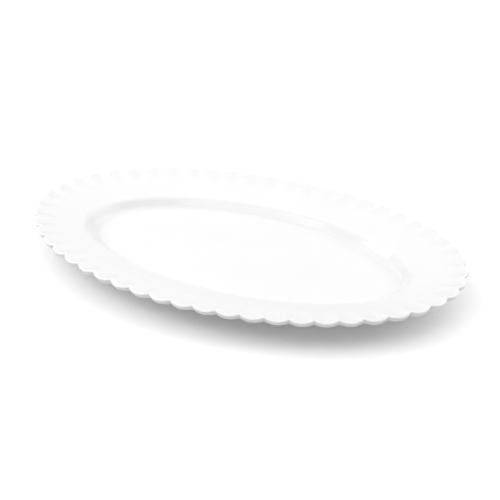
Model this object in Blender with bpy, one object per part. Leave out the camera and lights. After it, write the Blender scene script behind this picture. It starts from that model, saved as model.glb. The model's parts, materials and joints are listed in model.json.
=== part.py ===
"""Oval china serving platter with a scalloped, fluted rim.

The platter is one fired piece of china with nothing that moves. Its separate solids are the ones
that its making gives it: the clay body, the foot ring luted under it, the glass coat that wraps the
body from the well over the lip to the foot ring, and the coat of the base inside the foot ring.

Metres, +Z up, +X along the length. The origin is on the table, at the centre of the foot ring.
Run with: blender --background --python part.py
"""

import cmath
import math

import bmesh
import bpy
import numpy as np
from mathutils import Vector

# Outline
OVERALL_LENGTH = 0.350
OVERALL_WIDTH = 0.222
SCALLOPS = 52
SCALLOP_DEPTH = 0.0030  # from the notches out to a scallop's crown
SCALLOP_FADE = 0.014  # inset at which the rings no longer follow the scallops

# Rim and well; an inset is measured inwards from the curve through the notches
RIM_WIDTH = 0.0387
RIM_END_LIFT = 0.0020  # how much higher the lip stands at the two ends than at the sides
FLUTE_LENGTH = 0.019
FLUTE_DEPTH = 0.0006  # of a flute's middle at the lip
FLUTE_CUP = 0.0005  # how much deeper it is a third of its length in from the lip
RIDGE_SHARPNESS = 0.6  # of the ridges between the flutes at the lip, where 1 is a knife edge
RIDGE_FADE = 0.012  # inset at which the ridges are quite round
LIP_BOTTOM = 0.0195
LIP_TOP = 0.0242
LIP_CORNER = -0.00108  # inset of the lip's upper corner, which its rounding brings back to the outline
LIP_UNDERCUT = 0.0013  # inset of the lip's lower corner
VERGE_HEIGHT = 0.0154
WALL_FOOT_INSET = 0.0459
FLOOR_HEIGHT = 0.0068
UNDER_VERGE_INSET = 0.0357
UNDER_VERGE_HEIGHT = 0.0118
UNDER_WALL_INSET = 0.0415
BASE_HEIGHT = 0.0025

# Rounding of the section's corners
WALL_FOOT_RADIUS = 0.0100
VERGE_RADIUS = 0.0085
LIP_TOP_RADIUS = 0.0012
LIP_BOTTOM_RADIUS = 0.0014
UNDER_VERGE_RADIUS = 0.0060
UNDER_WALL_RADIUS = 0.0030

# Foot ring
FOOT_OUTER_INSET = 0.0449
FOOT_INNER_INSET = 0.0496
FOOT_DRAFT = 0.0008  # how much each side leans in between the root and the standing edge
FOOT_EDGE_RADIUS = 0.0008

# Layers
GLAZE_THICKNESS = 0.00035
GAP = 0.0003  # clearance kept between solids that touch on the fired piece
CLAY_DEPTH = GLAZE_THICKNESS + GAP  # how far the clay lies under the finished surface

# Mesh
STEPS_PER_SCALLOP = 4
RING = SCALLOPS * STEPS_PER_SCALLOP  # directions round the lip
PLAIN_STRIDE = 2  # away from the lip a ring keeps the crowns and the notches only
PLAIN_FROM = 0.005
ARC_SAMPLES = 7200
OUTER_RIM_INSET = 0.008
MIDDLE_RIM_INSET = 0.017

CUP_SCALE = 27 / 4  # makes the greatest value of CUP_SCALE * s * (1 - s) ** 2 equal to 1
SEMI_LENGTH = OVERALL_LENGTH / 2 - SCALLOP_DEPTH
SEMI_WIDTH = OVERALL_WIDTH / 2 - SCALLOP_DEPTH


def clear_scene():
    for obj in list(bpy.data.objects):
        bpy.data.objects.remove(obj, do_unlink=True)


# ---------------------------------------------------------------- outline


def equal_arc_angles(count):
    """Ellipse angles of the points that divide the notch curve into count equal lengths."""
    angle = np.linspace(0.0, 2 * math.pi, ARC_SAMPLES + 1)
    steps = np.hypot(np.diff(SEMI_LENGTH * np.cos(angle)), np.diff(SEMI_WIDTH * np.sin(angle)))
    length = np.concatenate(([0.0], np.cumsum(steps)))
    return np.interp(np.arange(count) * length[-1] / count, length, angle)


def oval_point(angle, inset):
    x = (SEMI_LENGTH - inset) * math.cos(angle)
    y = (SEMI_WIDTH - inset) * math.sin(angle)
    return Vector((x, y, 0.0))


def outward(angle):
    """Unit normal of the notch curve."""
    return Vector((SEMI_WIDTH * math.cos(angle), SEMI_LENGTH * math.sin(angle), 0.0)).normalized()


def well_angle(angle):
    """Angle, on the ovals of the well, of the place that faces a point of the notch curve."""
    facing = oval_point(angle, 0.0) - RIM_WIDTH * outward(angle)
    return math.atan2(facing.y / (SEMI_WIDTH - RIM_WIDTH), facing.x / (SEMI_LENGTH - RIM_WIDTH))


ANGLES = equal_arc_angles(RING)
PITCH = (oval_point(ANGLES[STEPS_PER_SCALLOP], 0.0) - oval_point(ANGLES[0], 0.0)).length
SCALLOP_RADIUS = (PITCH**2 / 4 + SCALLOP_DEPTH**2) / (2 * SCALLOP_DEPTH)


def scallop_phase(index):
    """0 at a scallop's crown and 0.5 either way at its notches."""
    return (index / STEPS_PER_SCALLOP + 0.5) % 1.0 - 0.5


def scallop_bulge(phase):
    """How far a scallop, an arc from notch to notch, stands out of the notch curve."""
    drop = SCALLOP_RADIUS - math.sqrt(SCALLOP_RADIUS**2 - (phase * PITCH) ** 2)
    return max(SCALLOP_DEPTH - drop, 0.0)


def fade(inset, reach):
    """1 at the lip, falling smoothly to 0 at the inset called reach."""
    return (1 - min(max(inset / reach, 0.0), 1.0)) ** 2


def flute_drop(phase, inset):
    """How far a flute dips: cupped just inside the lip, dying out inwards, with ridges between."""
    share = min(max(inset / FLUTE_LENGTH, 0.0), 1.0)
    middle = (FLUTE_DEPTH + CUP_SCALE * FLUTE_CUP * share) * (1 - share) ** 2
    sharpness = RIDGE_SHARPNESS * fade(inset, RIDGE_FADE)
    sharp_profile = 1 - (2 * phase) ** 2
    round_profile = (1 + math.cos(2 * math.pi * phase)) / 2
    return middle * (sharp_profile * sharpness + round_profile * (1 - sharpness))


def surface_point(index, inset, height):
    """A station of the section, placed at one of the RING directions round the platter."""
    angle = ANGLES[index]
    phase = scallop_phase(index)
    if inset < RIM_WIDTH:
        verge = oval_point(well_angle(angle), RIM_WIDTH)
        point = oval_point(angle, 0.0).lerp(verge, inset / RIM_WIDTH)
    else:
        point = oval_point(well_angle(angle), inset)
    point += outward(angle) * scallop_bulge(phase) * fade(inset, SCALLOP_FADE)
    lift = RIM_END_LIFT * (point.x / SEMI_LENGTH) ** 2 * fade(inset, RIM_WIDTH)
    point.z = height - flute_drop(phase, inset) + lift
    return point


# ---------------------------------------------------------------- section


def rounded_path(corners, depth=0.0):
    """Stations (inset, height) along a path of corners (inset, height, radius, steps).

    The path runs with the finished surface on its right, and the stations lie depth below that
    surface. A corner with no steps is a plain station.
    """
    points = [complex(corner[0], corner[1]) for corner in corners]
    stations = []
    for i, (_, _, radius, steps) in enumerate(corners):
        leaving = points[min(i + 1, len(points) - 1)] - points[min(i, len(points) - 2)]
        arriving = points[max(i, 1)] - points[max(i - 1, 0)]
        leaving /= abs(leaving)
        arriving /= abs(arriving)
        turn = cmath.phase(leaving / arriving)
        to_centre = math.copysign(radius, turn) * 1j
        centre = points[i] - arriving * radius * math.tan(abs(turn) / 2) + arriving * to_centre
        shares = [step / steps for step in range(steps + 1)] if steps else [0.5]
        for share in shares:
            heading = arriving * cmath.exp(1j * turn * share)
            station = centre - heading * to_centre + heading * 1j * depth
            stations.append((station.real, station.imag))
    return stations


def face_and_back(depth):
    """From the edge of the well's floor up over the rim and the lip, and back to the foot ring."""
    floor_inset = WALL_FOOT_INSET + WALL_FOOT_RADIUS
    rim_slope = (LIP_TOP - VERGE_HEIGHT) / RIM_WIDTH
    under_slope = (LIP_BOTTOM - UNDER_VERGE_HEIGHT) / (UNDER_VERGE_INSET - LIP_UNDERCUT)
    corners = [
        (floor_inset, FLOOR_HEIGHT, 0, 0),
        (WALL_FOOT_INSET, FLOOR_HEIGHT, WALL_FOOT_RADIUS, 2),
        (RIM_WIDTH, VERGE_HEIGHT, VERGE_RADIUS, 1),
        (MIDDLE_RIM_INSET, LIP_TOP - rim_slope * MIDDLE_RIM_INSET, 0, 0),
        (OUTER_RIM_INSET, LIP_TOP - rim_slope * OUTER_RIM_INSET, 0, 0),
        (LIP_CORNER, LIP_TOP - rim_slope * LIP_CORNER, LIP_TOP_RADIUS, 1),
        (LIP_UNDERCUT, LIP_BOTTOM, LIP_BOTTOM_RADIUS, 1),
        (OUTER_RIM_INSET, LIP_BOTTOM - under_slope * (OUTER_RIM_INSET - LIP_UNDERCUT), 0, 0),
        (MIDDLE_RIM_INSET, LIP_BOTTOM - under_slope * (MIDDLE_RIM_INSET - LIP_UNDERCUT), 0, 0),
        (UNDER_VERGE_INSET, UNDER_VERGE_HEIGHT, UNDER_VERGE_RADIUS, 1),
        (UNDER_WALL_INSET, BASE_HEIGHT, UNDER_WALL_RADIUS, 1),
        (FOOT_OUTER_INSET - GAP, BASE_HEIGHT, 0, 0),
    ]
    return rounded_path(corners, depth)


# ---------------------------------------------------------------- mesh


def add_ring(bm, inset, height):
    stride = PLAIN_STRIDE if inset > PLAIN_FROM else 1
    return [bm.verts.new(surface_point(i, inset, height)) for i in range(0, RING, stride)]


def add_band(bm, ring_a, ring_b):
    """Triangles between two rings of equal count, or of which one has twice the other's count."""
    if len(ring_a) < len(ring_b):
        ring_a, ring_b = ring_b, ring_a
    stride = len(ring_a) // len(ring_b)
    for i, near in enumerate(ring_b):
        ahead = ring_b[(i + 1) % len(ring_b)]
        span = [ring_a[(i * stride + k) % len(ring_a)] for k in range(stride + 1)]
        half = (stride + 1) // 2
        for k in range(stride):
            bm.faces.new((span[k], span[k + 1], near if k < half else ahead))
        bm.faces.new((span[half], ahead, near))


def add_bands(bm, rings):
    for ring_a, ring_b in zip(rings, rings[1:]):
        add_band(bm, ring_a, ring_b)


def make_node(name, bm, material):
    bmesh.ops.recalc_face_normals(bm, faces=bm.faces[:])
    mesh = bpy.data.meshes.new(name)
    bm.to_mesh(mesh)
    bm.free()
    mesh.shade_smooth()
    mesh.set_sharp_from_angle(angle=math.radians(40))
    mesh.materials.append(material)
    obj = bpy.data.objects.new(name, mesh)
    bpy.context.scene.collection.objects.link(obj)
    return obj


def make_material(name, colour, roughness, coat):
    material = bpy.data.materials.new(name)
    material.use_nodes = True
    shader = material.node_tree.nodes["Principled BSDF"]
    shader.inputs["Base Color"].default_value = (*colour, 1.0)
    shader.inputs["Roughness"].default_value = roughness
    shader.inputs["Metallic"].default_value = 0.0
    shader.inputs["Coat Weight"].default_value = coat
    return material


# ---------------------------------------------------------------- sub-parts


def make_body(material):
    """The fired clay: well, wall, fluted rim and flat base, closed by two flat ovals."""
    bm = bmesh.new()
    rings = [add_ring(bm, *station) for station in face_and_back(CLAY_DEPTH)]
    add_bands(bm, rings)
    bm.faces.new(rings[0])
    bm.faces.new(rings[-1])
    return make_node("platter_body", bm, material)


def make_glaze_coat(material):
    """The glass coat as one open bag round the body, whose mouth is at the foot ring."""
    bm = bmesh.new()
    outside = [add_ring(bm, *station) for station in face_and_back(0.0)]
    inside = [add_ring(bm, *station) for station in face_and_back(GLAZE_THICKNESS)]
    for rings in (outside, inside):
        add_bands(bm, rings)
        bm.faces.new(rings[0])
    add_band(bm, outside[-1], inside[-1])
    return make_node("glaze_coat", bm, material)


def make_base_glaze(material):
    """The glass coat of the base, inside the foot ring."""
    bm = bmesh.new()
    edge = FOOT_INNER_INSET + GAP
    rings = [add_ring(bm, edge, BASE_HEIGHT), add_ring(bm, edge, BASE_HEIGHT + GLAZE_THICKNESS)]
    add_bands(bm, rings)
    for ring in rings:
        bm.faces.new(ring)
    return make_node("base_glaze", bm, material)


def make_foot_ring(material):
    """A drafted ring with a flat standing edge between two rounded corners."""
    bm = bmesh.new()
    root = BASE_HEIGHT + CLAY_DEPTH - GAP
    corners = [
        (FOOT_OUTER_INSET, root, 0, 0),
        (FOOT_OUTER_INSET + FOOT_DRAFT, 0.0, FOOT_EDGE_RADIUS, 1),
        (FOOT_INNER_INSET - FOOT_DRAFT, 0.0, FOOT_EDGE_RADIUS, 1),
        (FOOT_INNER_INSET, root, 0, 0),
    ]
    rings = [add_ring(bm, *station) for station in rounded_path(corners)]
    add_bands(bm, rings + rings[:1])
    return make_node("foot_ring", bm, material)


def main():
    clear_scene()
    clay = make_material("fired_clay", (0.87, 0.86, 0.83), 0.75, 0.0)
    glaze = make_material("white_glaze", (0.93, 0.93, 0.925), 0.12, 1.0)
    bare = make_material("bare_foot_clay", (0.86, 0.85, 0.81), 0.7, 0.0)
    root = bpy.data.objects.new("platter", None)
    bpy.context.scene.collection.objects.link(root)
    pieces = [make_body(clay), make_glaze_coat(glaze), make_base_glaze(glaze), make_foot_ring(bare)]
    for piece in pieces:
        piece.parent = root


main()
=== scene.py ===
"""Looks of the oval china serving platter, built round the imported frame.

The fine surfaces follow the same oval, scallops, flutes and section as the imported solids, with many
more rows. All sizes are in metres, +Z is up and the table is at Z = 0.
"""

import cmath
import json
import math

import bmesh
import bpy
import numpy as np
from mathutils import Matrix, Vector


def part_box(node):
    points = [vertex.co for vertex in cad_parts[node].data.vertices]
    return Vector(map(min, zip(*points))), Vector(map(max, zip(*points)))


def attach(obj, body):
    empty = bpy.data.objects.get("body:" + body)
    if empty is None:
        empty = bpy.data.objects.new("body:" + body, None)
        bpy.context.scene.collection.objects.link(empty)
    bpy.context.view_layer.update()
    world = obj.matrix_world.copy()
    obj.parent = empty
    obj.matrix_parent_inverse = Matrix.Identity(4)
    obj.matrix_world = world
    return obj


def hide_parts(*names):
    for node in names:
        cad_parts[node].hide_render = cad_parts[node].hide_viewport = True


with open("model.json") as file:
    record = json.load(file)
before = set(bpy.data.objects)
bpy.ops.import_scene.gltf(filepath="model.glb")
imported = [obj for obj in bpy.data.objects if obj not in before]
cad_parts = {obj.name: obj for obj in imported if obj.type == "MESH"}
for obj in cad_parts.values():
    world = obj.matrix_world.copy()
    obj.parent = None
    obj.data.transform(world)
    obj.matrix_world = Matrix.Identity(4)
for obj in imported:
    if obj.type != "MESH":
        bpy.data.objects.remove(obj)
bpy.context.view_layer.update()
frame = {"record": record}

# ---------------------------------------------------------------- sizes read from the frame

coat_low, coat_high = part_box("glaze_coat")
_, foot_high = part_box("foot_ring")
base_low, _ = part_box("base_glaze")
mounts = {mount["name"]: mount for mount in frame["record"]["mounts"]}

SCALLOP_DEPTH = 0.0030  # from the notches out to a scallop's crown
SEMI_LENGTH = (coat_high.x - coat_low.x) / 2 - SCALLOP_DEPTH
SEMI_WIDTH = (coat_high.y - coat_low.y) / 2 - SCALLOP_DEPTH
FLOOR_HEIGHT = mounts["well_floor"]["pos_m"][2]
BASE_HEIGHT = base_low.z
FOOT_OUTER_INSET = SEMI_LENGTH - foot_high.x

# ---------------------------------------------------------------- sizes of the design
# An inset is measured inwards from the curve through the notches of the scallops.

SCALLOPS = 52
SCALLOP_FADE = 0.014  # inset at which the rings no longer follow the scallops
RIM_WIDTH = 0.0387
RIM_END_LIFT = 0.0020  # how much higher the lip stands at the two ends than at the sides
FLUTE_DEPTH = 0.0006  # of a flute's middle at the lip
FLUTE_CUP = 0.0005  # how much deeper it is a third of its length in from the lip
CUP_SCALE = 27 / 4  # makes the greatest value of CUP_SCALE * s * (1 - s) ** 2 equal to 1
RIDGE_SHARPNESS = 0.6  # of the ridges between the flutes: 1 at the lip would be a knife edge
RIDGE_FADE = 0.012  # inset at which the ridges are quite round
FLUTE_LENGTH = 0.019
FLOOR_SAG = 0.0002  # dip of the well's floor at its centre
LIP_BOTTOM = 0.0195
LIP_TOP = 0.0241
LIP_CORNER = -0.00089  # inset of the lip's upper corner, which its rounding brings back to the outline
LIP_UNDERCUT = 0.0013  # inset of the lip's lower corner
VERGE_HEIGHT = 0.0154
RIM_SLOPE = (LIP_TOP - VERGE_HEIGHT) / RIM_WIDTH
RIM_FROM = 0.0022  # insets between which the rim's straight stretch is divided
RIM_TO = RIM_WIDTH - 0.0040
WALL_FOOT_INSET = 0.0459
UNDER_VERGE_INSET = 0.0357
UNDER_VERGE_HEIGHT = 0.0118
UNDER_WALL_INSET = 0.0415
FOOT_WIDTH = 0.0047
FOOT_DRAFT = 0.0008  # how much each side leans in between the root and the standing edge

WALL_FOOT_RADIUS = 0.0100
VERGE_RADIUS = 0.0085
LIP_TOP_RADIUS = 0.0012
LIP_BOTTOM_RADIUS = 0.0014
UNDER_VERGE_RADIUS = 0.0060
UNDER_WALL_RADIUS = 0.0030
FOOT_EDGE_RADIUS = 0.0008

GLAZE_THICKNESS = 0.00035
SEAM = 0.00004  # hair-fine clearance between neighbouring pieces

LIP_SHADE_TOP = LIP_TOP - 0.0006  # where the painted shade on the face of the lip begins, below its pale upper edge
LIP_SHADE_BLEND = 0.0010  # height over which the tone changes there
LIP_SHADE_WIDTH = 0.0045
WALL_FOOT_POOL = WALL_FOOT_INSET + 0.0035  # inset of the middle of the pool at the foot of the wall
WALL_FOOT_POOL_WIDTH = 0.0045
WALL_FOOT_POOL_DEPTH = 0.3  # as a share of the pool in a flute
FOOT_CORNER_POOL_WIDTH = 0.0015
FOOT_CORNER_POOL_DEPTH = 0.8

STEPS_PER_SCALLOP = 12
RING = SCALLOPS * STEPS_PER_SCALLOP
ARC_SAMPLES = 7200
INNERMOST_RING = 0.05  # of the floor, as a share of its edge
SHARP_EDGE = math.radians(60)

# ---------------------------------------------------------------- outline


def equal_arc_angles(count):
    """Ellipse angles of the points that divide the notch curve into count equal lengths."""
    angle = np.linspace(0.0, 2 * math.pi, ARC_SAMPLES + 1)
    steps = np.hypot(np.diff(SEMI_LENGTH * np.cos(angle)), np.diff(SEMI_WIDTH * np.sin(angle)))
    length = np.concatenate(([0.0], np.cumsum(steps)))
    return np.interp(np.arange(count) * length[-1] / count, length, angle), length[-1]


def oval(angle, inset):
    return np.stack([(SEMI_LENGTH - inset) * np.cos(angle), (SEMI_WIDTH - inset) * np.sin(angle)], -1)


ANGLES, PERIMETER = equal_arc_angles(RING)
NOTCH_CURVE = oval(ANGLES, 0.0)
OUTWARD = np.stack([SEMI_WIDTH * np.cos(ANGLES), SEMI_LENGTH * np.sin(ANGLES)], -1)
OUTWARD /= np.linalg.norm(OUTWARD, axis=1, keepdims=True)
FACING = NOTCH_CURVE - RIM_WIDTH * OUTWARD
WELL_ANGLES = np.arctan2(FACING[:, 1] / (SEMI_WIDTH - RIM_WIDTH), FACING[:, 0] / (SEMI_LENGTH - RIM_WIDTH))
PHASE = (np.arange(RING) / STEPS_PER_SCALLOP + 0.5) % 1.0 - 0.5
PITCH = PERIMETER / SCALLOPS
SCALLOP_RADIUS = (PITCH**2 / 4 + SCALLOP_DEPTH**2) / (2 * SCALLOP_DEPTH)
BULGE = np.sqrt(SCALLOP_RADIUS**2 - (PHASE * PITCH) ** 2) - (SCALLOP_RADIUS - SCALLOP_DEPTH)
SHARP_GROOVE = 1 - (2 * PHASE) ** 2
ROUND_GROOVE = (1 + np.cos(2 * math.pi * PHASE)) / 2


def fade(inset, reach):
    """1 at the lip, falling smoothly to 0 at the inset called reach."""
    return (1 - np.clip(inset / reach, 0.0, 1.0)) ** 2


def flute_depth(inset):
    """Depth of a flute's middle: cupped just inside the lip, then dying out."""
    share = np.clip(inset / FLUTE_LENGTH, 0.0, 1.0)
    return FLUTE_DEPTH * (1 - share) ** 2 + FLUTE_CUP * CUP_SCALE * share * (1 - share) ** 2


def place(stations):
    """Rows of RING points for the stations (inset, height) of a section: an array rows x RING x 3."""
    inset, height = np.array(stations).T[:, :, None]
    across = np.clip(inset / RIM_WIDTH, 0.0, 1.0)[..., None]
    verge = oval(WELL_ANGLES, RIM_WIDTH)
    on_rim = NOTCH_CURVE * (1 - across) + verge * across
    in_well = oval(WELL_ANGLES[None, :], np.maximum(inset, RIM_WIDTH))
    flat = np.where(inset[..., None] < RIM_WIDTH, on_rim, in_well)
    flat = flat + OUTWARD * (BULGE * fade(inset, SCALLOP_FADE))[..., None]
    lift = RIM_END_LIFT * (flat[..., 0] / SEMI_LENGTH) ** 2 * fade(inset, RIM_WIDTH)
    sharpness = RIDGE_SHARPNESS * fade(inset, RIDGE_FADE)
    groove = SHARP_GROOVE * sharpness + ROUND_GROOVE * (1 - sharpness)
    z = height - groove * flute_depth(inset) + lift
    return np.concatenate([flat, z[..., None]], -1)


# ---------------------------------------------------------------- section


def between(start, end, count):
    """Plain stations that divide a straight stretch evenly, without its ends."""
    shares = [i / (count + 1) for i in range(1, count + 1)]
    return [(start[0] + (end[0] - start[0]) * s, start[1] + (end[1] - start[1]) * s, 0, 0) for s in shares]


def rounded_path(corners, depth=0.0):
    """Stations (inset, height) along corners (inset, height, radius, steps), depth below the surface.

    The path runs with the finished surface on its right. A corner with no steps is a plain station.
    """
    points = [complex(corner[0], corner[1]) for corner in corners]
    stations = []
    for i, (_, _, radius, steps) in enumerate(corners):
        leaving = points[min(i + 1, len(points) - 1)] - points[min(i, len(points) - 2)]
        arriving = points[max(i, 1)] - points[max(i - 1, 0)]
        leaving /= abs(leaving)
        arriving /= abs(arriving)
        turn = cmath.phase(leaving / arriving)
        to_centre = math.copysign(radius, turn) * 1j
        centre = points[i] - arriving * radius * math.tan(abs(turn) / 2) + arriving * to_centre
        for share in [step / steps for step in range(steps + 1)] if steps else [0.5]:
            heading = arriving * cmath.exp(1j * turn * share)
            station = centre - heading * to_centre + heading * 1j * depth
            stations.append((station.real, station.imag))
    return stations


def face_and_back(depth, fineness):
    """From the edge of the well's floor over the rim and the lip and back to the foot ring."""
    wall_foot = (WALL_FOOT_INSET, FLOOR_HEIGHT)
    verge = (RIM_WIDTH, VERGE_HEIGHT)
    lip_top = (LIP_CORNER, LIP_TOP - LIP_CORNER * RIM_SLOPE)
    lip_bottom = (LIP_UNDERCUT, LIP_BOTTOM)
    under_verge = (UNDER_VERGE_INSET, UNDER_VERGE_HEIGHT)
    under_wall = (UNDER_WALL_INSET, BASE_HEIGHT)
    rim_ends = (RIM_TO, LIP_TOP - RIM_TO * RIM_SLOPE), (RIM_FROM, LIP_TOP - RIM_FROM * RIM_SLOPE)
    corners = [
        (WALL_FOOT_INSET + WALL_FOOT_RADIUS, FLOOR_HEIGHT, 0, 0),
        (*wall_foot, WALL_FOOT_RADIUS, 5 * fineness),
        (*verge, VERGE_RADIUS, 3 * fineness),
        *between(*rim_ends, 14 * fineness),
        (*lip_top, LIP_TOP_RADIUS, 3 * fineness),
        (*lip_bottom, LIP_BOTTOM_RADIUS, 2 * fineness),
        *between(lip_bottom, under_verge, 6 * fineness),
        (*under_verge, UNDER_VERGE_RADIUS, 3 * fineness),
        (*under_wall, UNDER_WALL_RADIUS, 3 * fineness),
        (FOOT_OUTER_INSET - SEAM, BASE_HEIGHT, 0, 0),
    ]
    return rounded_path(corners, depth)


# ---------------------------------------------------------------- mesh


def floor_rows(edge_row, count, sag):
    """Rings from near the centre out to the edge row, dished by sag."""
    shares = np.linspace(INNERMOST_RING, 1.0, count, endpoint=False)[:, None, None]
    rows = edge_row[None] * shares
    rows[..., 2] = edge_row[None, :, 2] - sag * (1 - shares[..., 0] ** 2)
    return rows


def band_faces(first, rows):
    """Quads over rows of RING points, the first of which has the index first."""
    row, col = np.arange(rows - 1)[:, None], np.arange(RING)[None, :]
    near, far = first + row * RING + col, first + row * RING + (col + 1) % RING
    return np.stack([near, far, far + RING, near + RING], -1).reshape(-1, 4).tolist()


def ring_face(first):
    """One face that closes the ring which starts at the index first."""
    return [first + i for i in range(RING)]


def loop_faces(first_a, first_b):
    """Faces that join two rings of RING points which start at the two indices."""
    turns = [(i, (i + 1) % RING) for i in range(RING)]
    return [[first_a + i, first_a + ahead, first_b + ahead, first_b + i] for i, ahead in turns]


def hump(inset, middle, width):
    """1 at the middle, falling off smoothly either way."""
    return np.exp(-(((inset - middle) / width) ** 2))


FLUTE_DEEPEST = flute_depth(np.linspace(0.0, FLUTE_LENGTH, 100)).max()


def pooling_and_lip_shade(stations):
    """1 where the glaze lies thickest and -1 on the face of the lip, where shade is painted: an array rows
    x RING.
    """
    inset, height = np.array(stations).T[:, :, None]
    on_top = np.arange(len(inset))[:, None] <= np.argmin(inset)
    flutes = ROUND_GROOVE * flute_depth(inset) / FLUTE_DEEPEST
    wall_foot = WALL_FOOT_POOL_DEPTH * hump(inset, WALL_FOOT_POOL, WALL_FOOT_POOL_WIDTH)
    below_top = np.clip((LIP_SHADE_TOP - height) / LIP_SHADE_BLEND, 0.0, 1.0)
    # painted shade: the face of the lip is marked -1, to be tinted grey as if in shade
    lip_face_shade = hump(inset, 0.0, LIP_SHADE_WIDTH) * below_top
    foot_corner = FOOT_CORNER_POOL_DEPTH * hump(inset, FOOT_OUTER_INSET, FOOT_CORNER_POOL_WIDTH)
    thick = np.where(on_top, flutes + wall_foot, foot_corner * np.ones(RING))
    return thick * (1 - lip_face_shade) - lip_face_shade


def make_piece(name, rows, faces, material, replaced, pooling_and_lip_shade_rows=None):
    """A visible piece on the one body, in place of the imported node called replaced."""
    mesh = bpy.data.meshes.new(name)
    mesh.from_pydata(rows.reshape(-1, 3).tolist(), [], faces)
    bm = bmesh.new()
    bm.from_mesh(mesh)
    bmesh.ops.recalc_face_normals(bm, faces=bm.faces[:])
    bm.to_mesh(mesh)
    bm.free()
    mesh.shade_smooth()
    mesh.set_sharp_from_angle(angle=SHARP_EDGE)
    mesh.materials.append(material)
    if pooling_and_lip_shade_rows is not None:
        mesh.attributes.new("pooling_and_lip_shade", "FLOAT", "POINT").data.foreach_set("value", pooling_and_lip_shade_rows.ravel())
    piece = bpy.data.objects.new(name, mesh)
    bpy.context.scene.collection.objects.link(piece)
    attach(piece, "root")
    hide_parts(replaced)


# ---------------------------------------------------------------- materials

GLAZE_WHITE = (0.782, 0.782, 0.782)
GLAZE_CLOUD = (0.773, 0.773, 0.773)
GLAZE_POOLED = (0.750, 0.750, 0.751)
PAINTED_LIP_SHADE = (0.600, 0.601, 0.602)  # painted shade on the face of the lip, standing in for the shade that falls there
CLAY_PALE = (0.80, 0.785, 0.745)
CLAY_DARK = (0.73, 0.71, 0.665)
SCUFF_GREY = (0.42, 0.41, 0.40)
TABLE_WHITE = (0.95, 0.95, 0.95)
TABLE_PALE = (0.935, 0.935, 0.935)
GLAZE_IOR = 1.5
GLAZE_LINE = 0.0010  # height on the foot at which its glaze ends
GLAZE_LINE_BLEND = 0.00025
GRAIN_DEPTH = 0.00012
GLAZED_GRAIN = 0.03  # how much of the grain still shows through the glaze

# A Mix node's sockets for colours have the same names as its sockets for numbers, so they go by place.
MIX_COLOUR_A, MIX_COLOUR_B, MIX_COLOUR_RESULT = 6, 7, 2


def shader_material(name):
    material = bpy.data.materials.new(name)
    material.use_nodes = True
    return material, material.node_tree, material.node_tree.nodes["Principled BSDF"]


def add_node(tree, kind, values=None, **settings):
    """A new node with its settings, and with each input in values set to a number or joined to a socket."""
    node = tree.nodes.new(kind)
    for key, value in settings.items():
        setattr(node, key, value)
    for key, value in (values or {}).items():
        if isinstance(value, bpy.types.NodeSocket):
            tree.links.new(value, node.inputs[key])
        else:
            node.inputs[key].default_value = value
    return node


def noise(tree, place_at, scale, detail, roughness=0.5):
    """Fractal noise about 0.5, with scale lumps to the metre."""
    values = {"Vector": place_at, "Scale": scale, "Detail": detail, "Roughness": roughness}
    return add_node(tree, "ShaderNodeTexNoise", values).outputs["Fac"]


def remap(tree, value, low, high, to_low, to_high):
    """The value, spread from the span low to high onto the span to_low to to_high and clamped."""
    values = {"Value": value, "From Min": low, "From Max": high, "To Min": to_low, "To Max": to_high}
    return add_node(tree, "ShaderNodeMapRange", values).outputs["Result"]


def blend(tree, factor, first, second):
    """A colour between two, each one a tuple or a socket."""
    mix = add_node(tree, "ShaderNodeMix", {"Factor": factor}, data_type="RGBA")
    for socket, colour in ((mix.inputs[MIX_COLOUR_A], first), (mix.inputs[MIX_COLOUR_B], second)):
        if isinstance(colour, bpy.types.NodeSocket):
            tree.links.new(colour, socket)
        else:
            socket.default_value = (*colour, 1.0)
    return mix.outputs[MIX_COLOUR_RESULT]


def bump(tree, height, depth, before=None):
    """A bump whose full height is depth metres, laid over the bump called before."""
    values = {"Height": height, "Distance": depth, "Strength": 1.0}
    if before is not None:
        values["Normal"] = before
    return add_node(tree, "ShaderNodeBump", values).outputs["Normal"]


def combine(tree, operation, first, second):
    """Two values joined by a sum or a product."""
    return add_node(tree, "ShaderNodeMath", {0: first, 1: second}, operation=operation).outputs[0]


def position(tree):
    return add_node(tree, "ShaderNodeTexCoord").outputs["Object"]


def make_glaze():
    """Clear gloss over white: slow ripples, a greyer tint where the glass pools, and painted shade on the
    lip's face.
    """
    material, tree, shader = shader_material("white_glaze")
    where = position(tree)
    cloud = noise(tree, where, scale=28.0, detail=3.0)
    ripple = noise(tree, where, scale=170.0, detail=1.0)
    skin = noise(tree, where, scale=700.0, detail=2.0)
    pooling_and_lip_shade = add_node(tree, "ShaderNodeAttribute", attribute_name="pooling_and_lip_shade").outputs["Fac"]
    colour = blend(tree, remap(tree, cloud, 0.35, 0.65, 0.0, 1.0), GLAZE_WHITE, GLAZE_CLOUD)
    colour = blend(tree, remap(tree, pooling_and_lip_shade, 0.0, 1.0, 0.0, 1.0), colour, GLAZE_POOLED)
    # painted shade: the face of the lip is tinted grey to stand in for the shade that falls there
    colour = blend(tree, remap(tree, pooling_and_lip_shade, -1.0, 0.0, 1.0, 0.0), colour, PAINTED_LIP_SHADE)
    tree.links.new(colour, shader.inputs["Base Color"])
    rough = remap(tree, noise(tree, where, scale=60.0, detail=4.0), 0.3, 0.7, 0.085, 0.145)
    tree.links.new(rough, shader.inputs["Roughness"])
    normal = bump(tree, skin, depth=0.000003, before=bump(tree, ripple, depth=0.00004))
    tree.links.new(normal, shader.inputs["Normal"])
    shader.inputs["IOR"].default_value = GLAZE_IOR
    return material


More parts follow.
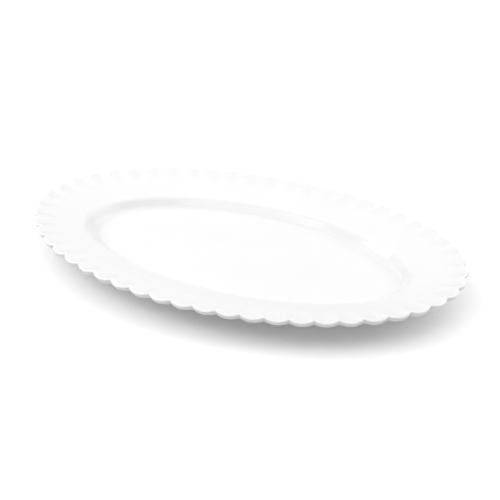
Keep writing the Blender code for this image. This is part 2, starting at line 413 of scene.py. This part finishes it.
def make_clay():
    """Fired clay with a fine matt grain."""
    material, tree, shader = shader_material("fired_clay")
    where = position(tree)
    grain = noise(tree, where, scale=1600.0, detail=4.0, roughness=0.6)
    mottle = noise(tree, where, scale=90.0, detail=3.0)
    tree.links.new(blend(tree, mottle, CLAY_PALE, CLAY_DARK), shader.inputs["Base Color"])
    tree.links.new(remap(tree, grain, 0.3, 0.7, 0.65, 0.85), shader.inputs["Roughness"])
    tree.links.new(bump(tree, grain, GRAIN_DEPTH), shader.inputs["Normal"])
    return material


def make_foot_finish():
    """Glaze down the sides to a wavering line, and below it the bare edge that the platter stands on."""
    material, tree, shader = shader_material("bare_foot_clay")
    where = position(tree)
    height = add_node(tree, "ShaderNodeSeparateXYZ", {"Vector": where}).outputs["Z"]
    waver = remap(tree, noise(tree, where, scale=130.0, detail=3.0), 0.3, 0.7, -0.00035, 0.00035)
    line = combine(tree, "ADD", height, waver)
    glazed = remap(tree, line, GLAZE_LINE, GLAZE_LINE + GLAZE_LINE_BLEND, 0.0, 1.0)
    grain = noise(tree, where, scale=1900.0, detail=5.0, roughness=0.65)
    mottle = noise(tree, where, scale=120.0, detail=3.0)
    bare = blend(tree, mottle, CLAY_PALE, CLAY_DARK)
    on_edge = remap(tree, height, 0.0, 0.0003, 1.0, 0.0)
    rubbing = noise(tree, where, scale=240.0, detail=4.0, roughness=0.7)
    scuffed = combine(tree, "MULTIPLY", on_edge, remap(tree, rubbing, 0.52, 0.72, 0.0, 0.55))
    bare = blend(tree, scuffed, bare, SCUFF_GREY)
    tree.links.new(blend(tree, glazed, bare, GLAZE_WHITE), shader.inputs["Base Color"])
    tree.links.new(remap(tree, glazed, 0.0, 1.0, 0.78, 0.12), shader.inputs["Roughness"])
    relief = combine(tree, "MULTIPLY", grain, remap(tree, glazed, 0.0, 1.0, 1.0, GLAZED_GRAIN))
    tree.links.new(bump(tree, relief, GRAIN_DEPTH), shader.inputs["Normal"])
    return material


def make_table_finish():
    """A smooth matt white table with a faint mottle."""
    material, tree, shader = shader_material("floor_white")
    where = position(tree)
    mottle = noise(tree, where, scale=14.0, detail=4.0)
    tree.links.new(blend(tree, mottle, TABLE_WHITE, TABLE_PALE), shader.inputs["Base Color"])
    tree.links.new(remap(tree, mottle, 0.3, 0.7, 0.75, 0.9), shader.inputs["Roughness"])
    fine = noise(tree, where, scale=900.0, detail=3.0)
    tree.links.new(bump(tree, fine, depth=0.00004), shader.inputs["Normal"])
    return material


# ---------------------------------------------------------------- pieces


def make_glaze_coat(material):
    """The glass over the body, with its inner skin, open at the foot ring."""
    face = face_and_back(0.0, 2)
    outside, inside = place(face), place(face_and_back(GLAZE_THICKNESS, 1))
    outer_floor, inner_floor = floor_rows(outside[0], 8, FLOOR_SAG), floor_rows(inside[0], 4, FLOOR_SAG)
    outer, inner = np.concatenate([outer_floor, outside]), np.concatenate([inner_floor, inside])
    start = len(outer) * RING
    faces = band_faces(0, len(outer)) + band_faces(start, len(inner)) + [ring_face(0), ring_face(start)]
    faces += loop_faces(start - RING, start + (len(inner) - 1) * RING)
    rows = np.concatenate([outer, inner])
    pooling_and_lip_shade_rows = np.zeros(rows.shape[:2])
    pooling_and_lip_shade_rows[len(outer_floor) : len(outer)] = pooling_and_lip_shade(face)
    make_piece("glaze_over_body", rows, faces, material, "glaze_coat", pooling_and_lip_shade_rows)


def make_body(material):
    """The clay, a hair under the glass."""
    surface = place(face_and_back(GLAZE_THICKNESS + SEAM, 1))
    rows = np.concatenate([floor_rows(surface[0], 4, FLOOR_SAG), surface])
    faces = band_faces(0, len(rows)) + [ring_face(0), ring_face((len(rows) - 1) * RING)]
    make_piece("china_body", rows, faces, material, "platter_body")


def make_base_glaze(material):
    """The glass of the base, inside the foot ring."""
    edge = FOOT_OUTER_INSET + FOOT_WIDTH + SEAM
    rows = place([(edge, BASE_HEIGHT), (edge, BASE_HEIGHT + GLAZE_THICKNESS)])
    outer = floor_rows(rows[0], 6, 0.0)
    rows = np.concatenate([outer, rows])
    faces = band_faces(0, len(rows)) + [ring_face(0), ring_face((len(rows) - 1) * RING)]
    make_piece("glaze_under_base", rows, faces, material, "base_glaze")


def make_foot(material):
    """The foot ring, with both corners of its standing edge rounded."""
    root = BASE_HEIGHT + GLAZE_THICKNESS
    corners = [
        (FOOT_OUTER_INSET, root, 0, 0),
        (FOOT_OUTER_INSET + FOOT_DRAFT, 0.0, FOOT_EDGE_RADIUS, 5),
        (FOOT_OUTER_INSET + FOOT_WIDTH - FOOT_DRAFT, 0.0, FOOT_EDGE_RADIUS, 5),
        (FOOT_OUTER_INSET + FOOT_WIDTH, root, 0, 0),
    ]
    rows = place(rounded_path(corners))
    faces = band_faces(0, len(rows)) + loop_faces((len(rows) - 1) * RING, 0)
    make_piece("standing_foot", rows, faces, material, "foot_ring")


glaze = make_glaze()
make_glaze_coat(glaze)
make_body(make_clay())
make_base_glaze(glaze)
make_foot(make_foot_finish())

# ---------------------------------------------------------------- stage

FLOOR_SIZE = 12.0
CAMERA_TURN = 22.5  # degrees anticlockwise from square on to the long side, seen from above
CAMERA_RISE = 29.02  # degrees above the table
CAMERA_ROLL = 1.36
CAMERA_DISTANCE = 4.904 * SEMI_LENGTH
CAMERA_TARGET = (0.0655 * SEMI_LENGTH, -0.0728 * SEMI_LENGTH, 0.0202)
CAMERA_LENS = 79.92  # mm on a sensor 36 mm wide
SOFTBOX_DISTANCE = 1.3
SOFTBOX_WIDTH = 0.81
SIDE_HEIGHT = 0.46  # of the softboxes at the left, the right and the front
BACK_HEIGHT = 0.95
OVERHEAD_HEIGHT = 0.7
WORLD_STRENGTH = 0.51


def from_table(azimuth, rise):
    """Unit vector in a direction anticlockwise from +X and above the table, both in degrees."""
    heading, climb = math.radians(azimuth), math.radians(rise)
    level = math.cos(climb)
    return Vector((math.cos(heading) * level, math.sin(heading) * level, math.sin(climb)))


def make_floor():
    bm = bmesh.new()
    bmesh.ops.create_grid(bm, x_segments=1, y_segments=1, size=FLOOR_SIZE / 2)
    mesh = bpy.data.meshes.new("floor")
    bm.to_mesh(mesh)
    bm.free()
    mesh.materials.append(make_table_finish())
    floor = bpy.data.objects.new("floor", mesh)
    bpy.context.scene.collection.objects.link(floor)


def make_softbox(name, turn, rise, height, radiance):
    """A soft rectangular light facing the platter.

    turn is clockwise from the way the camera looks, rise is above the table, both in degrees.
    """
    data = bpy.data.lights.new(name, "AREA")
    data.shape = "RECTANGLE"
    data.size, data.size_y = SOFTBOX_WIDTH, height
    data.energy = radiance * math.pi * SOFTBOX_WIDTH * height
    towards = from_table(90 + CAMERA_TURN - turn, rise)
    light = bpy.data.objects.new(name, data)
    light.location = towards * SOFTBOX_DISTANCE
    light.rotation_euler = towards.to_track_quat("Z", "Y").to_euler()
    bpy.context.scene.collection.objects.link(light)


def make_world(strength):
    world = bpy.data.worlds.new("studio")
    world.use_nodes = True
    world.node_tree.nodes["Background"].inputs["Color"].default_value = (1, 1, 1, 1)
    world.node_tree.nodes["Background"].inputs["Strength"].default_value = strength
    bpy.context.scene.world = world


def make_camera():
    back = from_table(CAMERA_TURN - 90, CAMERA_RISE)
    data = bpy.data.cameras.new("camera")
    data.lens = CAMERA_LENS
    data.clip_start, data.clip_end = 0.01, 50
    camera = bpy.data.objects.new("camera", data)
    roll = Matrix.Rotation(math.radians(CAMERA_ROLL), 4, "Z")
    turn = (-back).to_track_quat("-Z", "Y").to_matrix().to_4x4() @ roll
    camera.matrix_world = Matrix.Translation(Vector(CAMERA_TARGET) + back * CAMERA_DISTANCE) @ turn
    bpy.context.scene.collection.objects.link(camera)
    bpy.context.scene.camera = camera


make_floor()
make_softbox("softbox_left_low", 270, 30, SIDE_HEIGHT, radiance=4.0)
make_softbox("softbox_left_high", 270, 50, SIDE_HEIGHT, radiance=1.2)
make_softbox("softbox_front_left", 225, 50, SIDE_HEIGHT, radiance=1.95)
make_softbox("softbox_right_low", 90, 30, SIDE_HEIGHT, radiance=2.6)
make_softbox("softbox_right_high", 90, 50, SIDE_HEIGHT, radiance=1.2)
make_softbox("softbox_back_right", 45, 40, BACK_HEIGHT, radiance=1.18)
make_softbox("softbox_back_left", 315, 40, BACK_HEIGHT, radiance=0.84)
for turn in (0, 90, 180, 270):
    make_softbox("overhead", turn, 70, OVERHEAD_HEIGHT, radiance=0.62)
make_world(WORLD_STRENGTH)
make_camera()
bpy.context.scene.view_settings.view_transform = "Standard"
